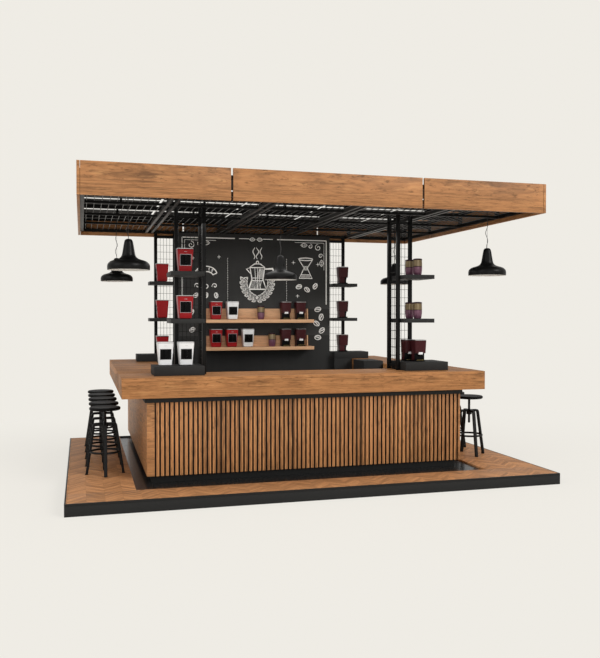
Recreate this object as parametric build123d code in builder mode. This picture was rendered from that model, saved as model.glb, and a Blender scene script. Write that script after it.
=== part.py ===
from build123d import *
import os
from math import atan2, cos, degrees, pi, radians, tan

os.makedirs("parts", exist_ok=True)

# The frame: millimetres, +Z up, X along the long front, the front faces -Y.
# The origin is the centre of the platform's underside, on the floor.

# Platform
platform_width = 5000
platform_depth = 3822
platform_base_height = 92
deck_thickness = 24
edge_trim_width = 14
floor_inset_width = 3700
floor_inset_front = -1510
floor_inset_thickness = 6
trim_joint = 1

# Counter body
body_width = 3444
body_front = -1165
body_back = 2125
body_bottom = 165
body_top = 905
side_panel_thickness = 77
slat_width = 32
slat_pitch = 47.5
slat_depth = 22
slat_backing = 12
kick_recess = 35
kick_side_recess = 50
cabinet_joint = 1
subtop_thickness = 52
subtop_overhang = 18

# Countertop
countertop_width = 3940
countertop_front = -1271
countertop_thickness = 202
front_counter_inner = -610
side_counter_inner = 1385
cabinet_inner_setback = 20
staff_unit_width = 260
staff_unit_front = 300
staff_unit_depth = 400
staff_unit_rise = 35

# Back wall and its two display shelves
wall_width = 2160
wall_thickness = 80
wall_back = 1660
wall_top = 2900
wall_shelf_width = 1560
wall_shelf_depth = 220
wall_shelf_thickness = 45
wall_shelf_tops = {"wall_shelf_upper": 1719, "wall_shelf_lower": 1344}
upstand_height = 150
upstand_thickness = 18

# Display towers
post = 40
tower_inner_x = 1100
tower_outer_x = 1360
tower_bay = 260
tower_front_line = -600
tower_box_width = 515
tower_shelf_width = 345
front_shelf_depth = 420
back_shelf_depth = 310
tower_box_height = 95
tower_shelf_thickness = 45
tower_shelf_tops = (1740, 2230)
rail_height = 30
rail_depth = 20
rail_clearance = 30
mesh_wire = 4
mesh_columns = 3
mesh_rows = 5

# Roof
roof_width = 4762
roof_front = -1807
roof_back = 1867
fascia_bottom = 2855
fascia_height = 305
fascia_thickness = 28
fascia_gap = 21
fascia_gap_x = 976
fascia_end_gap = 3
grid_bottom = 2900
roof_rail_width = 40
roof_rail_height = 40
roof_rail_joint = 1
joist_width = 30
joist_height = 40
joist_pair_spacing = 80
joist_lines = (-1450, -480, 480, 1450)
beam_rise = 40
beam_width = 40
beam_height = 40
beam_lines = (-880, 30, 945)
upright_width = 40
foot_block_width = 60
hanger_width = 24
hanger_lap = 20
hanger_height = 70
panel_thickness = 6
panel_gap = 30
panel_row_gap = 110

# Pendant lamps
lamp_places = ((-1907, -1420), (1907, -1420), (-1907, 1170), (1907, 1170), (0, 200))
shade_rim_z = 2211
shade_wall = 3
shade_profile = ((198, 0), (201, 40), (180, 78), (63, 137), (36, 296))
shade_sides = 20
lamp_wire_diameter = 3
cord_diameter = 6
cord_offset = 14
cord_route = (
    (0, 0, 0),
    (0, 0, 34),
    (20, 3, 76),
    (8, 6, 122),
    (-14, 4, 164),
    (2, 2, 208),
    (16, 1, 246),
    (4, 0, 300),
)

# Stools
stool_outward = 1
stool_first_y = -640
stool_spacing = 460
stools_per_side = 5
seat_diameter = 320
seat_sides = 20
spindle_sides = 8
hub_sides = 12
footrest_sides = 12
seat_thickness = 34
seat_top = 704
seat_edge = 9
spindle_diameter = 30
spindle_tip = 380
spindle_clearance = 0.3
hub_diameter = 64
hub_bottom = 480
hub_top = 540
seat_collar_diameter = 90
seat_collar_height = 12
leg_width = 30
leg_thickness = 20
leg_foot_radius = 198
leg_bend_radius = 112
footrest_radius = 150
footrest_height = 230
footrest_bar = 14

# Machines and canisters that stand on the shelves
machine_height = 245
machine_sizes = {
    "machines_red": {"base": (130, 140), "taper": 4.2},
    "machines_white": {"base": (130, 140), "taper": 4.2},
    "machines_maroon": {"base": (123, 125), "taper": 2.6},
}
machine_wall_gap = 1
canister_radius = 52
canister_height = 190
canister_sides = 16

deck_top = platform_base_height + deck_thickness
floor_top = platform_base_height + floor_inset_thickness
half_platform_width = platform_width / 2
half_platform_depth = platform_depth / 2
half_body = body_width / 2
half_slats = half_body - side_panel_thickness
countertop_bottom = body_top + subtop_thickness
countertop_top = countertop_bottom + countertop_thickness
half_countertop = countertop_width / 2
half_roof = roof_width / 2
wall_front = wall_back - wall_thickness
half_post = post / 2
fascia_inner_back = roof_back - fascia_thickness
joist_top = grid_bottom + joist_height
beam_bottom = joist_top + beam_rise
panel_underside = beam_bottom + beam_height + hanger_height
tower_rows = {
    "front": {"rear": tower_front_line, "depth": front_shelf_depth, "post_top": joist_top},
    "back": {"rear": fascia_inner_back - half_post, "depth": back_shelf_depth, "post_top": grid_bottom},
}


def mirrored(low, high):
    """Give a range and its mirror image about the middle plane."""
    return ((low, high), (-high, -low))


def slab(x_range, y_range, z_range):
    """Add one square-edged block that fills three ranges."""
    ranges = (x_range, y_range, z_range)
    with Locations(tuple((low + high) / 2 for low, high in ranges)):
        Box(*(high - low for low, high in ranges))


def many_sided(outline, sides, mode=Mode.ADD):
    """Stack tapered prisms with many flat sides through (radius, height) pairs, from the bottom up."""
    flat = cos(pi / sides)
    for (low_radius, low_z), (high_radius, high_z) in zip(outline, outline[1:]):
        lean = degrees(atan2((low_radius - high_radius) * flat, high_z - low_z))
        with BuildSketch(Plane.XY.offset(low_z)) as section:
            RegularPolygon(low_radius, sides)
        extrude(section.sketch, amount=high_z - low_z, taper=lean, mode=mode)


def save(builder, name):
    """Label a finished piece and write it to its own file."""
    builder.part.label = name
    export_step(builder.part, f"parts/{name}.step")


# Platform: a black carcass, a metal edge, wooden decks and a sunken gloss floor
with BuildPart() as platform_base:
    with BuildSketch():
        Rectangle(platform_width, platform_depth)
    extrude(amount=platform_base_height)
save(platform_base, "platform_base")

deck_z = (platform_base_height, deck_top)
trim_inner_x = half_platform_width - edge_trim_width
trim_inner_y = half_platform_depth - edge_trim_width
with BuildPart() as edge_trims:
    for long_side in mirrored(trim_inner_y, half_platform_depth):
        slab((-half_platform_width, half_platform_width), long_side, deck_z)
    for short_side in mirrored(trim_inner_x, half_platform_width):
        slab(short_side, (-trim_inner_y + trim_joint, trim_inner_y - trim_joint), deck_z)
save(edge_trims, "edge_trims")

half_inset = floor_inset_width / 2
with BuildPart() as deck_front:
    slab((-trim_inner_x, trim_inner_x), (-trim_inner_y, floor_inset_front), deck_z)
save(deck_front, "deck_front")

deck_sides = zip(("deck_right", "deck_left"), mirrored(half_inset, trim_inner_x))
for deck_name, deck_range in deck_sides:
    with BuildPart() as deck_side:
        slab(deck_range, (floor_inset_front, trim_inner_y), deck_z)
    save(deck_side, deck_name)

with BuildPart() as floor_inset:
    slab((-half_inset, half_inset), (floor_inset_front, trim_inner_y), (platform_base_height, floor_top))
save(floor_inset, "floor_inset")

# Counter body: wooden end panels, battened front and back, black carcasses on a kick
with BuildPart() as side_panels:
    for panel_range in mirrored(half_slats, half_body):
        slab(panel_range, (body_front, body_back), (body_bottom, body_top))
save(side_panels, "side_panels")

slat_count = int(2 * half_slats // slat_pitch)
slat_faces = {"slats_front": (body_front, 1), "slats_back": (body_back, -1)}
for slat_name, (face_y, inward) in slat_faces.items():
    with BuildPart() as slat_wall:
        with BuildSketch(Plane.XY.offset(body_bottom)):
            with Locations((0, face_y + inward * (slat_depth + slat_backing / 2))):
                Rectangle(2 * half_slats, slat_backing)
            with Locations((0, face_y + inward * slat_depth / 2)):
                with GridLocations(slat_pitch, 1, slat_count, 1):
                    Rectangle(slat_width, slat_depth)
        extrude(amount=body_top - body_bottom)
    save(slat_wall, slat_name)

carcass_front = body_front + slat_depth + slat_backing
carcass_back = body_back - slat_depth - slat_backing
front_carcass_inner = front_counter_inner - cabinet_inner_setback
side_carcass_inner = side_counter_inner + cabinet_inner_setback
kick_half_width = half_body - kick_side_recess
half_wall = wall_width / 2
with BuildPart() as cabinets:
    carcass_z = (body_bottom, body_top)
    kick_z = (floor_top, body_bottom)
    slab((-half_slats, half_slats), (carcass_front, front_carcass_inner), carcass_z)
    slab((-kick_half_width, kick_half_width), (body_front + kick_recess, front_carcass_inner), kick_z)
    slab((-half_slats, half_slats), (wall_back + cabinet_joint, carcass_back), carcass_z)
    slab((-kick_half_width, kick_half_width), (wall_back + cabinet_joint, trim_inner_y), kick_z)
    side_run = (front_carcass_inner + cabinet_joint, wall_back)
    for carcass_range in mirrored(side_carcass_inner, half_slats):
        slab(carcass_range, side_run, carcass_z)
    for kick_range in mirrored(side_carcass_inner, kick_half_width):
        slab(kick_range, side_run, kick_z)
save(cabinets, "cabinets")

half_subtop = half_body + subtop_overhang
subtop_z = (body_top, countertop_bottom)
with BuildPart() as subtop:
    slab((-half_subtop, half_subtop), (body_front - subtop_overhang, front_carcass_inner), subtop_z)
    slab((-half_subtop, half_subtop), (wall_back + cabinet_joint, body_back), subtop_z)
    for subtop_range in mirrored(side_carcass_inner, half_subtop):
        slab(subtop_range, (front_carcass_inner + cabinet_joint, wall_back), subtop_z)
save(subtop, "subtop")

countertop_z = (countertop_bottom, countertop_top)
with BuildPart() as countertop_front_piece:
    slab((-half_countertop, half_countertop), (countertop_front, front_counter_inner), countertop_z)
save(countertop_front_piece, "countertop_front")

with BuildPart() as countertop_back_piece:
    slab((-half_countertop, half_countertop), (wall_back, body_back), countertop_z)
save(countertop_back_piece, "countertop_back")

countertop_ends = zip(("countertop_right", "countertop_left"), mirrored(side_counter_inner, half_countertop))
for countertop_name, countertop_range in countertop_ends:
    with BuildPart() as countertop_side:
        slab(countertop_range, (front_counter_inner, wall_back), countertop_z)
    save(countertop_side, countertop_name)

with BuildPart() as staff_unit:
    slab(
        (side_counter_inner - staff_unit_width, side_counter_inner),
        (staff_unit_front, staff_unit_front + staff_unit_depth),
        (floor_top, countertop_top + staff_unit_rise),
    )
save(staff_unit, "staff_unit")

# Back wall with a black cheek on each side and two wooden display shelves
with BuildPart() as back_wall:
    slab((-half_wall, half_wall), (wall_front, wall_back), (floor_top, wall_top))
save(back_wall, "back_wall")

back_tower_front = tower_rows["back"]["rear"] - half_post - back_shelf_depth
cheek_face_x = tower_inner_x + half_post
with BuildPart() as wall_cheeks:
    with BuildSketch(Plane.XY.offset(floor_top)):
        with BuildLine():
            Polyline(
                (half_wall, wall_back),
                (half_wall, wall_front),
                (cheek_face_x, wall_front),
                (cheek_face_x, back_tower_front),
                (side_counter_inner, back_tower_front),
                (side_counter_inner, wall_back),
                close=True,
            )
        make_face()
        mirror(about=Plane.YZ)
    extrude(amount=countertop_top - floor_top)
save(wall_cheeks, "wall_cheeks")

for shelf_name, shelf_top in wall_shelf_tops.items():
    with BuildPart() as wall_shelf:
        with BuildSketch(Plane.YZ.offset(-wall_shelf_width / 2)):
            with BuildLine():
                Polyline(
                    (wall_front, shelf_top - wall_shelf_thickness),
                    (wall_front - wall_shelf_depth, shelf_top - wall_shelf_thickness),
                    (wall_front - wall_shelf_depth, shelf_top),
                    (wall_front - upstand_thickness, shelf_top),
                    (wall_front - upstand_thickness, shelf_top + upstand_height),
                    (wall_front, shelf_top + upstand_height),
                    close=True,
                )
            make_face()
        extrude(amount=wall_shelf_width)
    save(wall_shelf, shelf_name)

# Display towers: square posts, cross rails, wire mesh, shelves and a base box.
# The front pair stand on three posts in an L, the back pair on two under the roof's edge.
with BuildPart() as tower_posts:
    for row_name, row in tower_rows.items():
        spots = [(side * x, row["rear"]) for side in (-1, 1) for x in (tower_inner_x, tower_outer_x)]
        if row_name == "front":
            spots += [(side * tower_inner_x, row["rear"] - tower_bay) for side in (-1, 1)]
        with BuildSketch(Plane.XY.offset(countertop_top)) as post_feet:
            with Locations(*spots):
                Rectangle(post, post)
        extrude(post_feet.sketch, amount=row["post_top"] - countertop_top)
save(tower_posts, "tower_posts")

low_rail_z = countertop_top + rail_clearance
high_rail_z = grid_bottom - rail_clearance - rail_height
half_rail = rail_depth / 2
x_bay = (tower_inner_x + half_post, tower_outer_x - half_post)
y_bay = (tower_front_line - tower_bay + half_post, tower_front_line - half_post)
with BuildPart() as tower_rails:
    for rail_z in (low_rail_z, high_rail_z):
        rail_range = (rail_z, rail_z + rail_height)
        for row in tower_rows.values():
            for bay_range in mirrored(*x_bay):
                slab(bay_range, (row["rear"] - half_rail, row["rear"] + half_rail), rail_range)
        for inner_range in mirrored(tower_inner_x - half_rail, tower_inner_x + half_rail):
            slab(inner_range, y_bay, rail_range)
save(tower_rails, "tower_rails")

mesh_low = low_rail_z + rail_height
mesh_height = high_rail_z - mesh_low
bay_clear = tower_bay - post


def mesh_panel(plane):
    """Add one welded mesh panel, centred on a plane between two posts."""
    cell_width = (bay_clear - mesh_wire) / mesh_columns
    cell_height = (mesh_height - mesh_wire) / mesh_rows
    with BuildSketch(plane) as panel_outline:
        Rectangle(bay_clear, mesh_height)
        with GridLocations(cell_width, cell_height, mesh_columns, mesh_rows):
            Rectangle(cell_width - mesh_wire, cell_height - mesh_wire, mode=Mode.SUBTRACT)
    extrude(panel_outline.sketch, amount=mesh_wire / 2, both=True)


mesh_middle = mesh_low + mesh_height / 2
x_bay_middle = (tower_inner_x + tower_outer_x) / 2
for row_name, row in tower_rows.items():
    with BuildPart() as tower_mesh:
        for side in (-1, 1):
            rear_origin = (side * x_bay_middle, row["rear"], mesh_middle)
            mesh_panel(Plane(origin=rear_origin, x_dir=(1, 0, 0), z_dir=(0, -1, 0)))
            if row_name == "front":
                side_origin = (side * tower_inner_x, row["rear"] - tower_bay / 2, mesh_middle)
                mesh_panel(Plane(origin=side_origin, x_dir=(0, 1, 0), z_dir=(1, 0, 0)))
    save(tower_mesh, f"tower_mesh_{row_name}")

shelf_inner_x = tower_inner_x + half_post
with BuildPart() as tower_shelves:
    for row in tower_rows.values():
        shelf_back = row["rear"] - half_post
        shelf_y = (shelf_back - row["depth"], shelf_back)
        for shelf_top in tower_shelf_tops:
            for shelf_range in mirrored(shelf_inner_x, shelf_inner_x + tower_shelf_width):
                slab(shelf_range, shelf_y, (shelf_top - tower_shelf_thickness, shelf_top))
save(tower_shelves, "tower_shelves")

with BuildPart() as tower_boxes:
    for row in tower_rows.values():
        box_back = row["rear"] - half_post
        for box_range in mirrored(shelf_inner_x, shelf_inner_x + tower_box_width):
            slab(box_range, (box_back - row["depth"], box_back), (countertop_top, countertop_top + tower_box_height))
save(tower_boxes, "tower_boxes")

# Roof: wooden fascias around a black grid that carries loose flat panels
fascia_z = (fascia_bottom, fascia_bottom + fascia_height)
fascia_inner_x = half_roof - fascia_thickness
fascia_end_x = fascia_inner_x - fascia_end_gap
fascia_rows = {
    "fascia_front": (roof_front, roof_front + fascia_thickness),
    "fascia_back": (roof_back - fascia_thickness, roof_back),
}
for fascia_name, fascia_range in fascia_rows.items():
    with BuildPart() as fascia:
        middle_half = fascia_gap_x - fascia_gap / 2
        slab((-middle_half, middle_half), fascia_range, fascia_z)
        for wing_range in mirrored(fascia_gap_x + fascia_gap / 2, fascia_end_x):
            slab(wing_range, fascia_range, fascia_z)
    save(fascia, fascia_name)

fascia_ends = zip(("fascia_right", "fascia_left"), mirrored(fascia_inner_x, half_roof))
for fascia_name, fascia_range in fascia_ends:
    with BuildPart() as fascia_side:
        slab(fascia_range, (roof_front, roof_back), fascia_z)
    save(fascia_side, fascia_name)

grid_front = roof_front + fascia_thickness
grid_back = fascia_inner_back
lower_rail_z = (grid_bottom, grid_bottom + roof_rail_height)
upper_rail_z = (panel_underside - roof_rail_height, panel_underside)
upright_z = (lower_rail_z[1], upper_rail_z[0])
long_rail_x = fascia_inner_x - roof_rail_width - roof_rail_joint
half_upright = upright_width / 2
half_pair = joist_pair_spacing / 2
joist_places = [line_x + side * half_pair for line_x in joist_lines for side in (-1, 1)]
with BuildPart() as roof_rails:
    for rail_y in (
        (grid_front, grid_front + roof_rail_width),
        (grid_back - roof_rail_width, grid_back),
    ):
        for rail_z_range in (lower_rail_z, upper_rail_z):
            slab((-long_rail_x, long_rail_x), rail_y, rail_z_range)
        for upright_x in (-long_rail_x + half_upright, *joist_lines, long_rail_x - half_upright):
            slab((upright_x - half_upright, upright_x + half_upright), rail_y, upright_z)
    upright_ys = (grid_front + half_upright, *beam_lines, grid_back - half_upright)
    for rail_x in mirrored(fascia_inner_x - roof_rail_width, fascia_inner_x):
        for rail_z_range in (lower_rail_z, upper_rail_z):
            slab(rail_x, (grid_front, grid_back), rail_z_range)
        for upright_y in upright_ys:
            slab(rail_x, (upright_y - half_upright, upright_y + half_upright), upright_z)
save(roof_rails, "roof_rails")

joist_run = (grid_front + roof_rail_width, grid_back - roof_rail_width)
joist_z = (grid_bottom, joist_top)
with BuildPart() as roof_joists:
    for joist_x in joist_places:
        slab((joist_x - joist_width / 2, joist_x + joist_width / 2), joist_run, joist_z)
save(roof_joists, "roof_joists")

beam_z = (beam_bottom, beam_bottom + beam_height)
beam_end = fascia_inner_x - roof_rail_width
column_lines = (-fascia_inner_x - panel_gap / 2, *joist_lines, fascia_inner_x + panel_gap / 2)
half_foot = foot_block_width / 2
hanger_reach = panel_row_gap / 2 + hanger_lap
with BuildPart() as roof_beams:
    for line_y in beam_lines:
        slab((-beam_end, beam_end), (line_y - beam_width / 2, line_y + beam_width / 2), beam_z)
        for line_x in joist_lines:
            foot_x = (line_x - half_foot, line_x + half_foot)
            slab(foot_x, (line_y - beam_width / 2, line_y + beam_width / 2), (joist_top, beam_bottom))
        for west, east in zip(column_lines, column_lines[1:]):
            middle_x = (west + east) / 2
            hanger_x = (middle_x - hanger_width / 2, middle_x + hanger_width / 2)
            hanger_y = (line_y - hanger_reach, line_y + hanger_reach)
            slab(hanger_x, hanger_y, (beam_z[1], panel_underside))
save(roof_beams, "roof_beams")

half_row_gap = panel_row_gap / 2
row_lines = (grid_front - half_row_gap, *beam_lines, grid_back + half_row_gap)
with BuildPart() as roof_panels:
    for west, east in zip(column_lines, column_lines[1:]):
        for south, north in zip(row_lines, row_lines[1:]):
            slab(
                (west + panel_gap / 2, east - panel_gap / 2),
                (south + half_row_gap, north - half_row_gap),
                (panel_underside, panel_underside + panel_thickness),
            )
save(roof_panels, "roof_panels")

# Pendant lamps: open bell shades, each on a straight wire beside its slack cord
outer_line = [(radius, shade_rim_z + height) for radius, height in shade_profile]
cap_z = outer_line[-1][1]
inner_line = [(radius - shade_wall, z) for radius, z in outer_line[:-1]]
inner_line.append((outer_line[-1][0] - shade_wall, cap_z - shade_wall))
with BuildPart() as lamp_shade:
    many_sided(outer_line, shade_sides)
    many_sided(inner_line, shade_sides, mode=Mode.SUBTRACT)

with BuildPart() as lamp_shades:
    with Locations(*(Location((x, y, 0)) for x, y in lamp_places)):
        add(lamp_shade.part)
save(lamp_shades, "lamp_shades")

with BuildPart() as lamp_wires:
    with BuildSketch(Plane.XY.offset(cap_z)):
        with Locations(*lamp_places):
            Rectangle(lamp_wire_diameter, lamp_wire_diameter)
    extrude(amount=panel_underside - cap_z)
save(lamp_wires, "lamp_wires")


def bend_radii(points):
    """Give the arc for each corner of a route: 0.45 of its shorter run over tan(half the turn)."""
    radii = []
    for before, corner, after in zip(points, points[1:], points[2:]):
        first_run = Vector(*corner) - Vector(*before)
        second_run = Vector(*after) - Vector(*corner)
        turn = radians(first_run.get_angle(second_run))
        radii.append(0.45 * min(first_run.length, second_run.length) / tan(turn / 2))
    return radii


with BuildPart() as lamp_cords:
    for lamp_x, lamp_y in lamp_places:
        mirror_side = 1 if lamp_x >= 0 else -1
        route = [
            (lamp_x + mirror_side * x, lamp_y + cord_offset + y, cap_z + z) for x, y, z in cord_route
        ]
        route.append((*route[-1][:2], panel_underside))
        radii = bend_radii(route)
        with BuildLine(mode=Mode.PRIVATE) as cord_path:
            FilletPolyline(*route, radius=radii)
        cord_line = cord_path.wires()[0]
        with BuildSketch(Plane(origin=cord_line @ 0, z_dir=cord_line % 0)) as cord_section:
            RegularPolygon(cord_diameter / 2, 4)
        sweep(cord_section.sketch, path=cord_line)
        print("cord radii", [round(radius) for radius in radii], "length", round(cord_line.length))
save(lamp_cords, "lamp_cords")

# Stools: a screw spindle under each seat turns in the hub of a four-legged frame
seat_z = deck_top + seat_top
stool_x = (half_body + half_platform_width) / 2 + stool_outward
hub_z = (deck_top + hub_bottom, deck_top + hub_top)
stool_ys = [stool_first_y + stool_spacing * index for index in range(stools_per_side)]
spindle_radius = spindle_diameter / 2
seat_radius = seat_diameter / 2
collar_radius = seat_collar_diameter / 2
seat_under_z = seat_z - seat_thickness
collar_z = seat_under_z - seat_collar_height

with BuildPart() as stool_frame:
    with BuildSketch(Plane.XY.offset(hub_z[0])):
        RegularPolygon(hub_diameter / 2, hub_sides)
        RegularPolygon(spindle_radius + spindle_clearance, hub_sides, major_radius=False, mode=Mode.SUBTRACT)
    extrude(amount=hub_z[1] - hub_z[0])
    with BuildSketch(Plane.XZ) as leg_profile:
        with BuildLine():
            Polyline(
                (hub_diameter / 2 - 4, hub_z[1] - 4),
                (hub_diameter / 2 + 30, hub_z[1] - 4),
                (leg_bend_radius - 14, hub_z[1] - 12),
                (leg_bend_radius, hub_z[1] - 34),
                (leg_foot_radius, deck_top),
                (leg_foot_radius - leg_thickness, deck_top),
                (leg_bend_radius - leg_thickness - 6, hub_z[1] - 34),
                (hub_diameter / 2 - 4, hub_z[1] - 30),
                close=True,
            )
        make_face()
    leg_solid = extrude(leg_profile.sketch, amount=leg_width / 2, both=True, mode=Mode.PRIVATE)
    with PolarLocations(0, 4):
        add(leg_solid)
    with BuildSketch(Plane.XY.offset(deck_top + footrest_height)):
        RegularPolygon(footrest_radius + footrest_bar / 2, footrest_sides)
        RegularPolygon(footrest_radius - footrest_bar / 2, footrest_sides, mode=Mode.SUBTRACT)
    extrude(amount=footrest_bar)

for side, side_name in ((-1, "left"), (1, "right")):
    with BuildPart() as stool_frames:
        with Locations(*(Location((side * stool_x, y, 0)) for y in stool_ys)):
            add(stool_frame.part)
    save(stool_frames, f"stool_frames_{side_name}")

with BuildPart() as stool_seat:
    many_sided(
        (
            (seat_radius - seat_edge, seat_under_z),
            (seat_radius, seat_under_z + seat_edge),
            (seat_radius, seat_z - seat_edge),
            (seat_radius - seat_edge, seat_z),
        ),
        seat_sides,
    )
    many_sided(((collar_radius, collar_z), (collar_radius, seat_under_z)), hub_sides)
    many_sided(((spindle_radius, deck_top + spindle_tip), (spindle_radius, collar_z)), spindle_sides)

for side, side_name in ((-1, "left"), (1, "right")):
    for index, stool_y in enumerate(stool_ys, start=1):
        with BuildPart() as seat:
            with Locations(Location((side * stool_x, stool_y, 0))):
                add(stool_seat.part)
        save(seat, f"seat_{side_name}_{index}")

# Goods on show: tapered machines and round canisters, standing on shelves and boxes
low_shelf_z, high_shelf_z = tower_shelf_tops
box_top_z = countertop_top + tower_box_height
upper_wall_z = wall_shelf_tops["wall_shelf_upper"]
lower_wall_z = wall_shelf_tops["wall_shelf_lower"]
shelf_back_y = wall_front - upstand_thickness - machine_wall_gap
for size in machine_sizes.values():
    spread = machine_height * tan(radians(size["taper"]))
    size["wall_y"] = shelf_back_y - size["base"][1] / 2 - spread
bright_wall_y = machine_sizes["machines_red"]["wall_y"]
maroon_wall_y = machine_sizes["machines_maroon"]["wall_y"]
machine_places = {
    "machines_red": (
        (-1300, -840, high_shelf_z),
        (-1300, -840, low_shelf_z),
        (-1290, 1640, high_shelf_z),
        (-1290, 1640, low_shelf_z),
        (-1290, 1640, box_top_z),
        (-586, bright_wall_y, upper_wall_z),
        (-586, bright_wall_y, lower_wall_z),
        (-369, bright_wall_y, lower_wall_z),
    ),
    "machines_white": (
        (-1505, -820, box_top_z),
        (-1291, -820, box_top_z),
        (-360, bright_wall_y, upper_wall_z),
        (-145, bright_wall_y, lower_wall_z),
    ),
    "machines_maroon": (
        (1290, 1640, high_shelf_z),
        (1290, 1640, low_shelf_z),
        (1290, 1640, box_top_z),
        (1300, -696, box_top_z),
        (1357, -848, box_top_z),
        (398, maroon_wall_y, upper_wall_z),
        (611, maroon_wall_y, upper_wall_z),
        (398, maroon_wall_y, lower_wall_z),
        (611, maroon_wall_y, lower_wall_z),
    ),
}
for goods_name, places in machine_places.items():
    size = machine_sizes[goods_name]
    with BuildPart() as machines:
        for machine_x, machine_y, stand_z in places:
            with BuildSketch(Plane.XY.offset(stand_z)) as machine_foot:
                with Locations((machine_x, machine_y)):
                    Rectangle(*size["base"])
            extrude(machine_foot.sketch, amount=machine_height, taper=-size["taper"])
    save(machines, goods_name)

canister_places = (
    (1305, -715, high_shelf_z),
    (1322, -900, high_shelf_z),
    (1305, -715, low_shelf_z),
    (1322, -900, low_shelf_z),
    (45, bright_wall_y, upper_wall_z),
    (203, bright_wall_y, lower_wall_z),
)
with BuildPart() as canisters:
    for canister_x, canister_y, stand_z in canister_places:
        with BuildSketch(Plane.XY.offset(stand_z)) as canister_foot:
            with Locations((canister_x, canister_y)):
                RegularPolygon(canister_radius, canister_sides)
        extrude(canister_foot.sketch, amount=canister_height)
save(canisters, "canisters")
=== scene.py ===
"""Coffee kiosk: pieces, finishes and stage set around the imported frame."""

import math

import bmesh
import bpy
from bpy.props import FloatProperty, FloatVectorProperty, IntProperty
from mathutils import Matrix, Vector


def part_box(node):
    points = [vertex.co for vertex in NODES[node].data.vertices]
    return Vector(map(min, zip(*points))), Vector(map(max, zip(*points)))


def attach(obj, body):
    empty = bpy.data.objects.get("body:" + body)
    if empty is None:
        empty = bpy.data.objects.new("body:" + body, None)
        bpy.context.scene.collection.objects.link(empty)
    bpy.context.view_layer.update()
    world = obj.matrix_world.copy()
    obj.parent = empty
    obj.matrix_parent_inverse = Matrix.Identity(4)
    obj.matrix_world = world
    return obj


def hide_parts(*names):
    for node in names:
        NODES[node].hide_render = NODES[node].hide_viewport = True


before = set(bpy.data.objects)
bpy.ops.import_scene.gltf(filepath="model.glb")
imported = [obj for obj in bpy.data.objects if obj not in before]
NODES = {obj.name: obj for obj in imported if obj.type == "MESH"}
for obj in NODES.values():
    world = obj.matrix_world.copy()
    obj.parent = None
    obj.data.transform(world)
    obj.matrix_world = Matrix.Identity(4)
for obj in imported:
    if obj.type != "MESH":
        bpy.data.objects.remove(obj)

bl_info = {
    "name": "Coffee kiosk",
    "version": (1, 0, 0),
    "blender": (4, 5, 0),
    "location": "View3D > Sidebar > Kiosk",
    "description": "Builds a coffee kiosk with counter, roof, pendant lamps, stools and goods on show",
    "category": "Add Mesh",
}


# ---- Shader maths -------------------------------------------------------------------


class Channel:
    """A shader socket that works in sums like a number."""

    def __init__(self, finish, socket):
        self.finish = finish
        self.socket = socket

    def maths(self, operation, *values):
        return self.finish.node("Math", {"operation": operation}, values)

    def __add__(self, other):
        return self.maths("ADD", self, other)

    def __sub__(self, other):
        return self.maths("SUBTRACT", self, other)

    def __rsub__(self, other):
        return self.maths("SUBTRACT", other, self)

    def __mul__(self, other):
        return self.maths("MULTIPLY", self, other)

    def __truediv__(self, other):
        return self.maths("DIVIDE", self, other)

    def __gt__(self, other):
        return self.maths("GREATER_THAN", self, other)

    __radd__ = __add__
    __rmul__ = __mul__

    def absolute(self):
        return self.maths("ABSOLUTE", self)

    def whole(self):
        return self.maths("FLOOR", self)

    def part(self):
        return self.maths("FRACT", self)

    def least(self, other):
        return self.maths("MINIMUM", self, other)

    def most(self, other):
        return self.maths("MAXIMUM", self, other)


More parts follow.
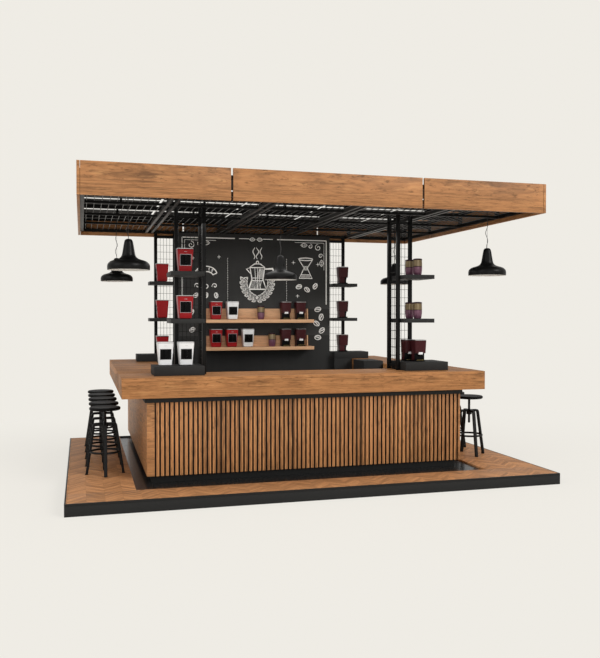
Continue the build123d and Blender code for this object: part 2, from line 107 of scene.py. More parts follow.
class Finish:
    """One material and the nodes behind it."""

    def __init__(self, name, roughness=0.5, **constants):
        self.material = bpy.data.materials.new(name)
        self.material.use_nodes = True
        self.tree = self.material.node_tree
        self.shader = self.tree.nodes["Principled BSDF"]
        self.shader.inputs["Roughness"].default_value = roughness
        for socket, value in constants.items():
            self.shader.inputs[socket.replace("_", " ")].default_value = value

    def node(self, kind, settings=None, sockets=(), output=0):
        """Add any node: its settings first, then the values or links of its sockets."""
        made = self.tree.nodes.new("ShaderNode" + kind)
        for setting, value in (settings or {}).items():
            if setting == "stops":
                ramp = made.color_ramp.elements
                while len(ramp) < len(value):
                    ramp.new(1.0)
                for stop, (place, colour) in zip(ramp, value):
                    stop.position = place
                    stop.color = (*colour, 1.0)
            else:
                setattr(made, setting, value)
        named = sockets.items() if isinstance(sockets, dict) else enumerate(sockets)
        for key, value in named:
            if isinstance(value, Channel):
                self.tree.links.new(value.socket, made.inputs[key])
            else:
                made.inputs[key].default_value = value
        return Channel(self, made.outputs[output])

    def place(self):
        """Give the three object coordinates, in metres of the frame."""
        point = self.node("TexCoord", output=3)
        return [self.node("SeparateXYZ", None, (point,), axis) for axis in range(3)]

    def facing(self, axis):
        """Give how squarely a face looks along one axis, as the mesh has it."""
        normal = self.node("TexCoord", output=1)
        return self.node("SeparateXYZ", None, (normal,), axis).absolute()

    def vector(self, x, y, z):
        return self.node("CombineXYZ", None, (x, y, z))

    def noise(self, vector, scale=1.0, detail=3.0, roughness=0.5, distortion=0.0):
        sockets = {"Vector": vector, "Scale": scale, "Detail": detail}
        sockets.update({"Roughness": roughness, "Distortion": distortion})
        return self.node("TexNoise", None, sockets)

    def chance(self, vector):
        return self.node("TexWhiteNoise", {"noise_dimensions": "3D"}, {"Vector": vector})

    def ramp(self, factor, stops):
        return self.node("ValToRGB", {"stops": stops}, (factor,))

    def fade(self, value, low, high):
        """Give 0 below low, 1 above high, and a smooth step between."""
        settings = {"interpolation_type": "SMOOTHSTEP"}
        sockets = {"Value": value, "From Min": low, "From Max": high}
        return self.node("MapRange", settings, sockets)

    def between(self, factor, first, second):
        """Mix two colours."""
        first, second = (c if isinstance(c, Channel) else (*c, 1.0) for c in (first, second))
        return self.node("Mix", {"data_type": "RGBA"}, {0: factor, 6: first, 7: second}, 2)

    def shaded(self, colour, amount):
        """Multiply a colour by a grey amount."""
        grey = self.vector(amount, amount, amount)
        return self.node("VectorMath", {"operation": "MULTIPLY"}, (colour, grey))

    def feed(self, socket, value):
        """Link a socket of the shader, or set it."""
        target = self.shader.inputs[socket]
        if isinstance(value, Channel):
            self.tree.links.new(value.socket, target)
        else:
            target.default_value = (*value, 1.0) if isinstance(value, tuple) else value

    def relief(self, height, depth, strength=1.0):
        """Raise the surface by a height from 0 to 1, depth metres deep."""
        sockets = {"Strength": strength, "Distance": depth, "Height": height}
        self.feed("Normal", self.node("Bump", None, sockets))


def tinted(colour, factor):
    return tuple(channel * factor for channel in colour)


def wood_finish(name, colour, upright=False, boards=None, contrast=1.0, gloss=0.22, edges=1.0):
    """Oiled plank wood: streaks, dark flecks and fine fibre along the grain.

    boards is the width of a board, and edges is how much of its brightness a narrow side keeps: below 1 the
    narrow sides get painted shade.
    """
    finish = Finish(name, roughness=0.48, Specular_IOR_Level=gloss)
    x, y, z = finish.place()
    side = finish.facing(0) > 0.7
    along, across, layer = (z, x, y) if upright else (x + side * (y - x), z + finish.facing(2) * y, y * 0.35)
    shift = tone_shift = 0.0
    joint = None
    if boards:
        lane = (across / boards).whole()
        pick = finish.chance(finish.vector(lane, side * 3.0, 7.0))
        shift = pick * 9.0
        tone_shift = (pick - 0.5) * (0.16 if edges == 1.0 else 0.24)
        edge = (across / boards).part()
        joint = 1.0 - finish.fade((edge - 0.5).absolute(), 0.478, 0.495)

    def grain(lengthwise, crosswise, deep, detail, roughness=0.5, distortion=0.0, offset=shift):
        """Noise drawn out along the grain, with its frequency each way."""
        spot = finish.vector(along * lengthwise + offset, across * crosswise, layer * deep)
        return finish.noise(spot, 1.0, detail, roughness, distortion)

    streaks = grain(3.0, 28.0, 9.0, 7.0, 0.66, 0.7)
    broad = grain(1.1, 7.0, 5.0, 2.0)
    fibre = grain(14.0, 420.0, 60.0, 2.0, offset=0.0)
    flecks = grain(11.0, 66.0, 20.0, 4.0, 0.7)
    gold = grain(4.0, 48.0, 16.0, 3.0, 0.6, offset=shift * -1.0)
    tone = streaks * 0.66 + broad * 0.24 + fibre * 0.12 + tone_shift
    stops = (
        (0.30, tinted(colour, 1.0 - 0.72 * contrast)),
        (0.43, tinted(colour, 1.0 - 0.34 * contrast)),
        (0.53, tinted(colour, 1.05)),
        (0.66, tinted(colour, 1.0 + 0.30 * contrast)),
    )
    base = finish.ramp(tone, stops)
    bright = tuple(channel * lift for channel, lift in zip(colour, (1.55, 1.75, 1.80)))
    base = finish.between(finish.fade(gold, 0.52, 0.72) * (0.55 * contrast), base, bright)
    scar = finish.fade(flecks, 0.53, 0.68) * (0.72 * contrast)
    base = finish.between(scar, base, tinted(colour, 0.30))
    height = streaks * 0.5 + fibre * 0.25 - scar * 0.5
    if joint:
        base = finish.shaded(base, joint * 0.42 + 0.58)
        height = height + joint * 0.8
    # Painted shade: narrow sides facing X are darkened as if shadowed in the gaps between battens.
    if edges < 1.0:
        base = finish.shaded(base, 1.0 - side * (1.0 - edges))
    finish.feed("Base Color", base)
    finish.feed("Roughness", 0.40 + streaks * 0.16 + scar * 0.1)
    finish.relief(height, 0.0009)
    return finish.material


def deck_finish(name, colour):
    """Chevron boards: each column of boards leans the other way to its neighbour."""
    finish = Finish(name, roughness=0.5, Specular_IOR_Level=0.12)
    x, y, _ = finish.place()
    column_width, board_width = 0.165, 0.046
    column = (x / column_width).whole()
    lean = (column * 0.5).part() * 4.0 - 1.0
    inner = (x / column_width).part() - 0.5
    rise = (y - lean * inner * column_width) / board_width
    board = rise.whole()
    pick = finish.chance(finish.vector(column, board, 3.0))
    diagonal = 0.7071
    along = (x + lean * y) * diagonal
    across = (y - lean * x) * diagonal
    offset = pick * 13.0
    spot = finish.vector(along * 3.2 + offset, across * 30.0, offset)
    streaks = finish.noise(spot, 1.0, 5.0, 0.6, 0.4)
    fibre = finish.noise(finish.vector(along * 20.0, across * 380.0, offset), 1.0, 2.0)
    tone = streaks * 0.78 + fibre * 0.14 + (pick - 0.5) * 0.20 + 0.04
    stops = (
        (0.26, tinted(colour, 0.52)),
        (0.42, tinted(colour, 0.80)),
        (0.54, tinted(colour, 1.06)),
        (0.70, tinted(colour, 1.42)),
    )
    base = finish.ramp(tone, stops)
    board_edge = finish.fade((rise.part() - 0.5).absolute(), 0.465, 0.492)
    column_edge = finish.fade(inner.absolute(), 0.490, 0.498)
    seam = board_edge.most(column_edge * 0.6)
    base = finish.shaded(base, 1.0 - seam * 0.42)
    finish.feed("Base Color", base)
    finish.feed("Roughness", 0.42 + streaks * 0.16 + seam * 0.2)
    finish.relief(streaks * 0.3 + fibre * 0.2 - seam, 0.0008)
    return finish.material


def painted_finish(
    name, colour, roughness, grain=900.0, depth=0.00008, spread=0.12, gloss=0.12, metal=0.0
):
    """Sprayed or powder-coated skin: fine orange peel, faint clouds and rubbed patches."""
    finish = Finish(name, roughness=roughness, Specular_IOR_Level=gloss, Metallic=metal)
    point = finish.node("TexCoord", output=3)
    peel = finish.noise(point, grain, 2.0)
    clouds = finish.noise(point, 7.0, 4.0, 0.6)
    rubs = finish.fade(finish.noise(point, 46.0, 5.0, 0.7), 0.56, 0.78)
    shade = 1.0 + (clouds - 0.5) * (spread * 2.0)
    finish.feed("Base Color", finish.shaded(colour, shade + rubs * (spread * 0.8)))
    finish.feed("Roughness", roughness + (clouds - 0.5) * 0.12 + rubs * 0.05)
    finish.relief(peel + rubs * 0.3, depth)
    return finish.material


def board_finish(name, colour, roughness=0.62, painted_light_above=()):
    """Black laminate: a soft upright smear like a wiped board, with a painted band of light over the named
    shelves.
    """
    finish = Finish(name, roughness=roughness, Specular_IOR_Level=0.18)
    x, y, z = finish.place()
    smear = finish.noise(finish.vector(x * 16.0, y * 16.0, z * 2.2), 1.0, 5.0, 0.62, 0.4)
    tooth = finish.noise(finish.vector(x, y, z), 520.0, 2.0)
    dust = finish.noise(finish.vector(x, y, z), 3.2, 3.0)
    shade = 0.72 + smear * 0.34 + dust * 0.22 + tooth * 0.06
    # Painted light: the board grows lighter in a band just above the top of each named shelf.
    painted_light_height = 0.22
    for node in painted_light_above:
        above = (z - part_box(node)[1][2]) / painted_light_height
        shade = shade + (above > 0.0) * (1.0 - above.least(1.0)) * 0.7
    finish.feed("Base Color", finish.shaded(colour, shade))
    finish.feed("Roughness", roughness - 0.06 + smear * 0.12)
    finish.relief(tooth * 0.6 + smear * 0.4, 0.00014)
    return finish.material


def gloss_finish(name, colour):
    """Polished black sheet with a trace of dust and wipe marks in its gloss."""
    finish = Finish(name, roughness=0.34)
    x, y, z = finish.place()
    wipe = finish.noise(finish.vector(x * 3.0, y * 3.0, z), 1.0, 5.0, 0.6, 1.2)
    specks = finish.fade(finish.noise(finish.vector(x, y, z), 240.0, 2.0), 0.66, 0.8)
    finish.feed("Base Color", finish.shaded(colour, 0.86 + wipe * 0.28 + specks * 0.5))
    finish.feed("Roughness", 0.17 + wipe * 0.12 + specks * 0.2)
    finish.relief(wipe, 0.0001)
    return finish.material


def chalk_finish(name, colour, ground_tint):
    """Chalk rubbed on a board: broken by the board's tooth, stronger in places."""
    ground = tinted(looks().black, ground_tint)
    finish = Finish(name, roughness=0.92)
    point = finish.node("TexCoord", output=3)
    tooth = finish.noise(point, 330.0, 3.0, 0.7)
    press = finish.noise(point, 16.0, 3.0)
    cover = finish.fade(tooth + press * 0.5, 0.34, 0.60)
    finish.feed("Base Color", finish.between(cover, ground, colour))
    finish.relief(cover, 0.0003)
    return finish.material


def brushed_finish(name, colour, roughness=0.32):
    """Brushed bright metal, with its lines along X."""
    finish = Finish(name, roughness=roughness, Metallic=1.0)
    x, y, z = finish.place()
    lines = finish.noise(finish.vector(x * 30.0, y * 900.0, z * 900.0), 1.0, 3.0)
    finish.feed("Base Color", finish.shaded(colour, 0.86 + lines * 0.28))
    finish.feed("Roughness", roughness - 0.06 + lines * 0.14)
    finish.relief(lines, 0.00005)
    return finish.material


def tin_finish(name, colour, roughness, metallic):
    """Lacquered tin: a slow shimmer round the body with faint upright brushing."""
    finish = Finish(name, roughness=roughness, Metallic=metallic)
    finish.feed("Coat Weight", 0.35)
    x, y, z = finish.place()
    lines = finish.noise(finish.vector(x * 420.0, y * 420.0, z * 14.0), 1.0, 3.0)
    cloud = finish.noise(finish.vector(x, y, z), 24.0, 3.0)
    finish.feed("Base Color", finish.shaded(colour, 0.74 + lines * 0.26 + cloud * 0.26))
    finish.feed("Roughness", roughness - 0.05 + cloud * 0.1)
    finish.relief(lines, 0.00005)
    return finish.material


# ---- Mesh tools ---------------------------------------------------------------------


def block(mesh, low, high, edge=0.0015, finish=0):
    """Add one box between two corners, with eased edges."""
    size = [b - a for a, b in zip(low, high)]
    middle = Matrix.Translation([(a + b) / 2 for a, b in zip(low, high)])
    before = set(mesh.faces)
    made = bmesh.ops.create_cube(mesh, size=1.0, matrix=middle @ Matrix.Diagonal((*size, 1.0)))
    edges = list({e for v in made["verts"] for e in v.link_edges})
    bmesh.ops.bevel(mesh, geom=edges, offset=edge, segments=2, affect="EDGES", profile=0.6)
    for face in set(mesh.faces) - before:
        face.material_index = finish


def skin(mesh, rings, finish=0, cap_low=False, cap_high=False):
    """Join closed rings of points, one to the next, with faces."""
    verts = [[mesh.verts.new(point) for point in ring] for ring in rings]
    count = len(verts[0])
    for low, high in zip(verts, verts[1:]):
        for i in range(count):
            j = (i + 1) % count
            mesh.faces.new((low[i], low[j], high[j], high[i])).material_index = finish
    if cap_low:
        mesh.faces.new(verts[0][::-1]).material_index = finish
    if cap_high:
        mesh.faces.new(verts[-1]).material_index = finish


def circle(count):
    """Cosine and sine for each corner of a regular polygon."""
    turns = [2 * math.pi * i / count for i in range(count)]
    return [(math.cos(turn), math.sin(turn)) for turn in turns]


def arc(x, z, rx, rz, start, end, count=14):
    """Points of an arc in degrees, in a plan of two axes."""
    turns = [math.radians(start + (end - start) * i / count) for i in range(count + 1)]
    return [(x + rx * math.cos(turn), z + rz * math.sin(turn)) for turn in turns]


def mirrored(x, half):
    """Points left of an upright line at x, then their mirror images in reverse."""
    return [(x - u, v) for u, v in half] + [(x + u, v) for u, v in reversed(half)]


def turned(mesh, profile, middle, sides, finish=0, cap_high=False):
    """Add a lathe-turned skin through (radius, height) pairs about an upright line."""
    x, y, z = middle
    rings = [[(x + r * c, y + r * s, z + h) for c, s in circle(sides)] for r, h in profile]
    skin(mesh, rings, finish, False, cap_high)


def bar(mesh, points, half_width, half_height, up=(0, 0, 1), corner=0.0, sides=None):
    """Sweep a rectangular or round section along a run of points, ends capped."""
    points = [Vector(p) for p in points]
    if sides:
        section = [(half_width * c, half_height * s) for c, s in circle(sides)]
    else:
        w, h, c = half_width, half_height, corner
        section = [(w, h - c), (w - c, h), (c - w, h), (-w, h - c)]
        section += [(-u, -v) for u, v in section]
    rings = []
    for i, point in enumerate(points):
        before = (point - points[i - 1]).normalized() if i else None
        after = (points[i + 1] - point).normalized() if i + 1 < len(points) else None
        run = (before or after) + (after or before)
        run.normalize()
        aside = run.cross(Vector(up)).normalized()
        above = aside.cross(run).normalized()
        stretch = 1.0
        if before and after:
            stretch = 1.0 / max(0.5, math.cos(before.angle(after) / 2))
        rings.append([point + aside * u + above * (v * stretch) for u, v in section])
    skin(mesh, rings, 0, True, True)


def middle_of(low, high):
    """The middle of a box in plan."""
    return (low[0] + high[0]) / 2, (low[1] + high[1]) / 2


def islands(node):
    """The lowest and highest corner of each loose part of a CAD node, in order."""
    mesh = bmesh.new()
    mesh.from_mesh(NODES[node].data)
    bmesh.ops.remove_doubles(mesh, verts=mesh.verts, dist=1e-5)
    left = set(mesh.verts)
    found = []
    while left:
        queue = [left.pop()]
        corners = []
        while queue:
            vert = queue.pop()
            corners.append(vert.co.copy())
            for edge in vert.link_edges:
                other = edge.other_vert(vert)
                if other in left:
                    left.remove(other)
                    queue.append(other)
        low = [min(c[i] for c in corners) for i in range(3)]
        high = [max(c[i] for c in corners) for i in range(3)]
        found.append((tuple(low), tuple(high)))
    mesh.free()
    return sorted(found, key=lambda box: [round(v, 3) for v in box[0]])


def piece(name, mesh, finishes, nodes=(), body="root", crease=32.0):
    """Turn a finished mesh into a shown piece that rides on a body."""
    bmesh.ops.recalc_face_normals(mesh, faces=mesh.faces)
    data = bpy.data.meshes.new(name)
    mesh.to_mesh(data)
    mesh.free()
    data.shade_smooth()
    data.set_sharp_from_angle(angle=math.radians(crease))
    for finish in finishes:
        data.materials.append(finish_of(finish))
    made = shown(name, data)
    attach(made, body)
    if nodes:
        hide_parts(*nodes)


def shown(name, data):
    """Put new data into the scene as an object."""
    made = bpy.data.objects.new(name, data)
    bpy.context.collection.objects.link(made)
    return made


def eased(node, finish, edge=0.0015):
    """Stand a box piece with eased edges in place of each box of a CAD node."""
    mesh = bmesh.new()
    for low, high in islands(node):
        block(mesh, low, high, edge)
    piece(node + "_dressed", mesh, [finish], (node,))


def dress(node, finish):
    """Give a CAD node that stays its finish."""
    data = NODES[node].data
    data.materials.clear()
    data.materials.append(finish_of(finish))


# ---- Sizes and colours --------------------------------------------------------------

SIDES = ("front", "back", "left", "right")
SLAT_WIDTH = 0.0305
SLAT_PITCH = 0.0475
SLAT_DEPTH = 0.022
SLAT_EDGE = 0.0022


def colour_of(label, text, value):
    return FloatVectorProperty(
        name=label, description=text, default=value, size=3, subtype="COLOR", min=0.0, max=1.0
    )


def length_of(label, text, value):
    return FloatProperty(name=label, description=text, default=value, unit="LENGTH", min=0.0)


class KioskLooks(bpy.types.PropertyGroup):
    counter_wood: colour_of("Counter wood", "Oiled wood of counter and roof edge", (0.352, 0.160, 0.062))
    deck_wood: colour_of("Deck wood", "Chevron boards of the platform", (0.440, 0.212, 0.092))
    shelf_wood: colour_of("Shelf wood", "Pale wood of the two wall shelves", (0.660, 0.385, 0.215))
    black: colour_of("Black", "Laminate, paint and board", (0.0165, 0.0164, 0.0160))
    steel: colour_of("Steel", "Powder coat on posts, stools and roof grid", (0.0065, 0.0064, 0.0063))
    chalk: colour_of("Chalk", "Chalk drawing", (0.860, 0.850, 0.820))
    red: colour_of("Red", "Red machines", (0.300, 0.011, 0.014))
    white: colour_of("White", "White machines", (0.760, 0.765, 0.770))
    maroon: colour_of("Maroon", "Maroon machines", (0.050, 0.011, 0.013))
    backdrop: colour_of("Backdrop", "Floor and background", (0.8632, 0.8388, 0.7823))
    wire: length_of("Mesh wire", "Wire thickness of the tower mesh", 0.0046)
    rod_spacing: length_of("Ceiling rod spacing", "Pitch of the thin ceiling rods", 0.075)
    thread_pitch: length_of("Thread pitch", "Pitch of the stool screw", 0.006)
    mesh_columns: IntProperty(name="Mesh columns", description="Openings across one panel", default=5, min=1)
    mesh_rows: IntProperty(name="Mesh rows", description="Openings up one panel", default=17, min=1)


def looks():
    return bpy.context.scene.kiosk


# What makes each finish, its colour or the named colour with a factor, and its settings.
FINISHES = {
    "platform_black": (painted_finish, ("black", 1.0), {"roughness": 0.5, "grain": 300.0}),
    "edge_black": (painted_finish, ("black", 0.8), {"roughness": 0.38}),
    "deck_wood": (deck_finish, ("deck_wood", 1.0), {}),
    "gloss_floor": (gloss_finish, (0.014, 0.014, 0.014), {}),
    "counter_wood": (wood_finish, ("counter_wood", 1.0), {}),
    "roof_wood": (wood_finish, ("counter_wood", 1.0), {}),
    "worktop_wood": (wood_finish, ("counter_wood", 1.0), {"boards": 0.101, "gloss": 0.08}),
    # The battens' narrow sides keep 0.16 of their brightness: painted shade for the gaps between them.
    "batten_wood": (
        wood_finish, ("counter_wood", 1.08), {"upright": True, "boards": SLAT_PITCH, "edges": 0.16}
    ),
    "shelf_wood": (wood_finish, ("shelf_wood", 1.0), {"contrast": 0.55}),
    "backing_black": (board_finish, ("black", 0.35), {}),
    "kick_black": (board_finish, ("black", 0.55), {}),
    "box_black": (board_finish, ("black", 1.1), {}),
    "black_board": (board_finish, ("black", 1.12), {}),
    "cheek_black": (board_finish, ("black", 1.15), {}),
    "tower_shelf_black": (board_finish, ("black", 1.15), {"roughness": 0.5}),
    "roof_board": (board_finish, ("black", 1.6), {}),
    # The chalkboard gets a painted band of light above both wall shelves.
    "chalkboard": (
        board_finish,
        ("black", 1.6),
        {"roughness": 0.7, "painted_light_above": ("wall_shelf_lower", "wall_shelf_upper")},
    ),
    "chalk": (chalk_finish, ("chalk", 1.0), {"ground_tint": 1.3}),
    "black_steel": (painted_finish, ("steel", 1.0), {"roughness": 0.42}),
    # The joists are black steel like the grid; this lighter copy paints light on them.
    "joist_grey": (painted_finish, (0.030, 0.029, 0.028), {"roughness": 0.4, "gloss": 0.3}),
    "rod_steel": (painted_finish, (0.15, 0.15, 0.15), {"roughness": 0.35, "metal": 0.3}),
    "cord_rubber": (painted_finish, (0.035, 0.034, 0.033), {"roughness": 0.55, "grain": 700.0}),
    "lamp_enamel": (
        painted_finish, (0.0034, 0.0033, 0.0032), {"roughness": 0.36, "grain": 260.0, "depth": 0.00006}
    ),
    "lamp_lining": (painted_finish, (0.78, 0.77, 0.75), {"roughness": 0.5, "grain": 260.0}),
    "bulb_glass": (
        painted_finish, (0.80, 0.79, 0.76), {"roughness": 0.12, "grain": 200.0, "depth": 0.00002}
    ),
    "steel_wire": (brushed_finish, (0.07, 0.07, 0.07), {}),
    "stool_steel": (painted_finish, ("steel", 1.1), {"roughness": 0.40, "grain": 600.0}),
    "stool_rubber": (painted_finish, (0.008, 0.008, 0.008), {"roughness": 0.8}),
    "seat_black": (
        painted_finish,
        ("black", 0.30),
        {"roughness": 0.46, "grain": 220.0, "depth": 0.00012, "gloss": 0.06},
    ),
    "screw_steel": (brushed_finish, (0.040, 0.040, 0.040), {"roughness": 0.4}),
    "goods_black": (
        painted_finish,
        (0.004, 0.004, 0.0042),
        {"roughness": 0.3, "grain": 200.0, "depth": 0.00002, "gloss": 0.05},
    ),
    "goods_silver": (brushed_finish, (0.50, 0.50, 0.51), {}),
    "goods_cup": (painted_finish, (0.78, 0.78, 0.785), {"roughness": 0.25}),
    "goods_grey": (painted_finish, (0.30, 0.30, 0.30), {"roughness": 0.3}),
    "goods_brass": (brushed_finish, (0.36, 0.27, 0.10), {}),
    # Dark grey for the painted glint on the maroon machines' trays.
    "goods_glint": (painted_finish, (0.030, 0.030, 0.030), {"roughness": 0.3}),
    "tin_plum": (tin_finish, (0.150, 0.055, 0.095), {"roughness": 0.34, "metallic": 0.4}),
    "tin_amber": (tin_finish, (0.190, 0.135, 0.062), {"roughness": 0.30, "metallic": 0.4}),
    "tin_cap": (painted_finish, (0.030, 0.012, 0.018), {"roughness": 0.3}),
}
SHELL = {"roughness": 0.30, "grain": 400.0, "depth": 0.00004, "spread": 0.08}
for kind in ("red", "white", "maroon"):
    FINISHES["shell_" + kind] = (painted_finish, (kind, 1.0), SHELL)
MADE = {}


def finish_of(name):
    """Make a finish from the table once and give it again afterwards."""
    if name not in MADE:
        make, colour, settings = FINISHES[name]
        if isinstance(colour[0], str):
            colour = tinted(getattr(looks(), colour[0]), colour[1])
        MADE[name] = make(name, colour, **settings)
    return MADE[name]


class KIOSK_OT_platform(bpy.types.Operator):
    """Dress the platform, its edge, the chevron decks and the sunken floor"""

    bl_idname = "kiosk.platform"
    bl_label = "Platform"

    def execute(self, context):
        eased("platform_base", "platform_black", 0.002)
        eased("edge_trims", "edge_black", 0.001)
        for node in ("deck_front", "deck_left", "deck_right"):
            eased(node, "deck_wood", 0.0008)
        dress("floor_inset", "gloss_floor")
        return {"FINISHED"}


class KIOSK_OT_counter(bpy.types.Operator):
    """Build the counter: end panels, battens, black carcass, worktops and staff unit"""

    bl_idname = "kiosk.counter"
    bl_label = "Counter"

    def batten(self, mesh, x, low_y, high_y, low_z, high_z):
        half = SLAT_WIDTH / 2
        block(mesh, (x - half, low_y, low_z), (x + half, high_y, high_z), SLAT_EDGE)

    def backing(self, name, low, high, nodes=()):
        mesh = bmesh.new()
        block(mesh, low, high, 0.0008)
        piece(name, mesh, ["backing_black"], nodes)

    def battens(self, node):
        low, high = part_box(node)
        front = node == "slats_front"
        face, rear = (low[1], high[1]) if front else (high[1], low[1])
        inner = face + (SLAT_DEPTH if front else -SLAT_DEPTH)
        wood = bmesh.new()
        count = int((high[0] - low[0]) // SLAT_PITCH)
        for i in range(count):
            self.batten(wood, (i - (count - 1) / 2) * SLAT_PITCH, *sorted((face, inner)), low[2], high[2])
        piece(node + "_battens", wood, ["batten_wood"], (node,))
        ends = sorted((inner, rear))
        self.backing(node + "_backing", (low[0], ends[0], low[2]), (high[0], ends[1], high[2]), (node,))

    def side_panels(self):
        """The battens run on over the front corner of the right-hand panel."""
        mesh = bmesh.new()
        left, (low, high) = islands("side_panels")
        block(mesh, *left, 0.002)
        lip, board = 0.022, 0.012
        front = low[1] + SLAT_DEPTH + board
        block(mesh, (low[0], front, low[2]), high, 0.002)
        block(mesh, (high[0] - lip, low[1], low[2]), (high[0], front, high[2]), 0.002)
        piece("side_panels_dressed", mesh, ["counter_wood"], ("side_panels",))
        extra = bmesh.new()
        gap = 0.0135
        self.batten(extra, low[0] + SLAT_PITCH - SLAT_WIDTH / 2 - gap, low[1], front, low[2], high[2])
        piece("corner_batten", extra, ["batten_wood"])
        far = (high[0] - lip, front + 0.001, high[2])
        self.backing("corner_backing", (low[0], front - board, low[2]), far)

    def execute(self, context):
        for node in ("slats_front", "slats_back"):
            self.battens(node)
        self.side_panels()
        for side in SIDES:
            eased("countertop_" + side, "worktop_wood", 0.003)
        eased("subtop", "black_board", 0.0015)
        eased("cabinets", "kick_black", 0.0015)
        eased("staff_unit", "black_board", 0.002)
        return {"FINISHED"}


class KIOSK_OT_back_wall(bpy.types.Operator):
    """Dress the back wall, draw the chalk on it and build its two shelves"""

    bl_idname = "kiosk.back_wall"
    bl_label = "Back wall"

    boldness = 1.75
    chalk_depth = 0.0012

    def stroke(self, points, width=0.007, closed=False):
        """Lay one chalk line on the board, thinner at its ends unless it is closed."""
        width = width * self.boldness
        points = [Vector(p) for p in points]
        if closed:
            points.append(points[0])
        rings = []
        last = len(points) - 1
        for i, point in enumerate(points):
            run = points[min(i + 1, last)] - points[max(i - 1, 0)]
            if run.length < 1e-9:
                continue
            aside = Vector((-run.y, run.x)).normalized() * (width / 2)
            if not closed:
                aside *= 0.55 + 0.45 * min(1.0, 4.0 * min(i, last - i) / max(1, last))
            left, right = point + aside, point - aside
            proud = self.face - self.chalk_depth
            outer = [(left.x, proud, left.y), (right.x, proud, right.y)]
            rings.append(outer + [(right.x, self.face, right.y), (left.x, self.face, left.y)])
        skin(self.mesh, rings, 0, True, True)

    def spiral(self, x, z, size, start, turns, flip=1, width=0.006):
        points = []
        for i in range(31):
            share = i / 30
            radius = size * (1 - share * 0.86)
            angle = math.radians(start + flip * 360 * turns * share)
            points.append((x + radius * math.cos(angle), z + radius * math.sin(angle)))
        self.stroke(points, width)

    def leaf(self, x, z, length, heading, fill=3):
        turn = math.radians(heading)
        ahead = Vector((math.cos(turn), math.sin(turn)))
        aside = Vector((-ahead.y, ahead.x))
        base = Vector((x, z))
        for bend in (-1, 1):
            points = [
                base + ahead * (length * t / 10) + aside * (bend * length * 0.26 * math.sin(math.pi * t / 10))
                for t in range(11)
            ]
            self.stroke(points, 0.005)
        for k in range(1, fill + 1):
            start = base + ahead * (length * k / (fill + 1))
            for bend in (-1, 1):
                self.stroke([start, start + ahead * length * 0.12 + aside * (bend * length * 0.13)], 0.004)
        self.stroke([base, base + ahead * length * 0.92], 0.004)

    def bean(self, x, z, size, heading):
        turn = math.radians(heading)
        c, s = math.cos(turn), math.sin(turn)

        def put(points):
            return [(x + c * u - s * v, z + s * u + c * v) for u, v in points]

        self.stroke(put(arc(0, 0, size, size * 0.66, 0, 350, 24)), 0.006, True)
        crease = [(size * (t / 6 - 1), size * 0.16 * math.sin(math.pi * t / 6)) for t in range(13)]
        self.stroke(put(crease), 0.007)
        for k in range(-3, 4):
            u = size * k / 4.4
            top = size * 0.58 * math.sqrt(max(0.0, 1 - (k / 4.4) ** 2))
            self.stroke(put([(u - size * 0.05, top * 0.35), (u, top * 0.92)]), 0.004)

    def border(self):
        x, top, low = 1.025, 2.838, 1.93
        inset = 0.034
        for side in (-1, 1):
            edge, inner = side * x, side * (x - inset)
            self.stroke([(side * 0.30, top), (edge, top)], 0.014)
            self.stroke([(edge, top), (edge, low)], 0.014)
            self.stroke([(side * 0.56, top - inset), (inner, top - inset)], 0.005)
            self.stroke([(inner, top - inset), (inner, 2.42)], 0.005)
            corner_x, corner_z = side * (x - 0.10), top - 0.10
            self.spiral(corner_x - side * 0.02, corner_z, 0.050, 90, 1.3, side)
            self.spiral(corner_x - side * 0.14, corner_z + 0.016, 0.036, 90, 1.2, -side)
            self.spiral(corner_x + side * 0.016, corner_z - 0.12, 0.036, 0, 1.2, side)
            self.leaf(corner_x - side * 0.18, corner_z + 0.03, 0.10, 180 if side > 0 else 0, 2)
            self.leaf(corner_x + side * 0.03, corner_z - 0.17, 0.10, 270, 2)
            self.stroke([(u, top) for u in sorted((side * 0.10, side * 0.24))], 0.010)
            self.leaf(side * 0.01, top - 0.008, 0.085, 90 - side * 90, 2)

    def pot(self, x, z):
        """An eight-sided stove pot with a spout, a knob and a looped handle."""
        wide, waist, tall = 0.125, 0.078, 0.30
        top, neck, rim = z + tall, z + tall * 0.46, wide * 0.84
        self.stroke(mirrored(x, [(wide, z), (waist, neck), (rim, top)]), 0.010, True)
        for share in (-0.36, 0.0, 0.36):
            rib = ((wide, z + 0.008), (waist, neck), (rim, top))
            self.stroke([(x + half * share, level) for half, level in rib], 0.005)
        for level in (z + tall * 0.40, z + tall * 0.52):
            self.stroke([(x - waist - 0.008, level), (x + waist + 0.008, level)], 0.011)
        spout = [(x - rim, top), (x - wide * 1.25, z + tall * 0.93), (x - waist * 1.12, z + tall * 0.68)]
        self.stroke(spout, 0.009)
        self.stroke(mirrored(x, [(wide * 0.86, top + 0.006), (0.04, top + 0.052)]), 0.008)
        self.stroke(arc(x, top + 0.072, 0.017, 0.019, 0, 340), 0.007, True)
        grip = [(wide * 0.80, 0.94), (0.215, 0.96), (0.232, 0.86), (0.205, 0.28)]
        self.stroke([(x + u, z + tall * share) for u, share in grip], 0.016)
        for k in range(9):
            u = x - wide * 0.80 + k * 0.017
            self.stroke([(u, z + 0.012), (u + 0.022, z + 0.118)], 0.004)
        for k in range(8):
            u = x + 0.018 + k * 0.0095
            self.stroke([(u - 0.012, z + tall * 0.57), (u + 0.006, z + tall * 0.93)], 0.0045)

    def steam(self, x, z, height, sway):
        points = [(x + sway * math.sin(t * 0.62), z + height * t / 12) for t in range(13)]
        self.stroke(points, 0.006)

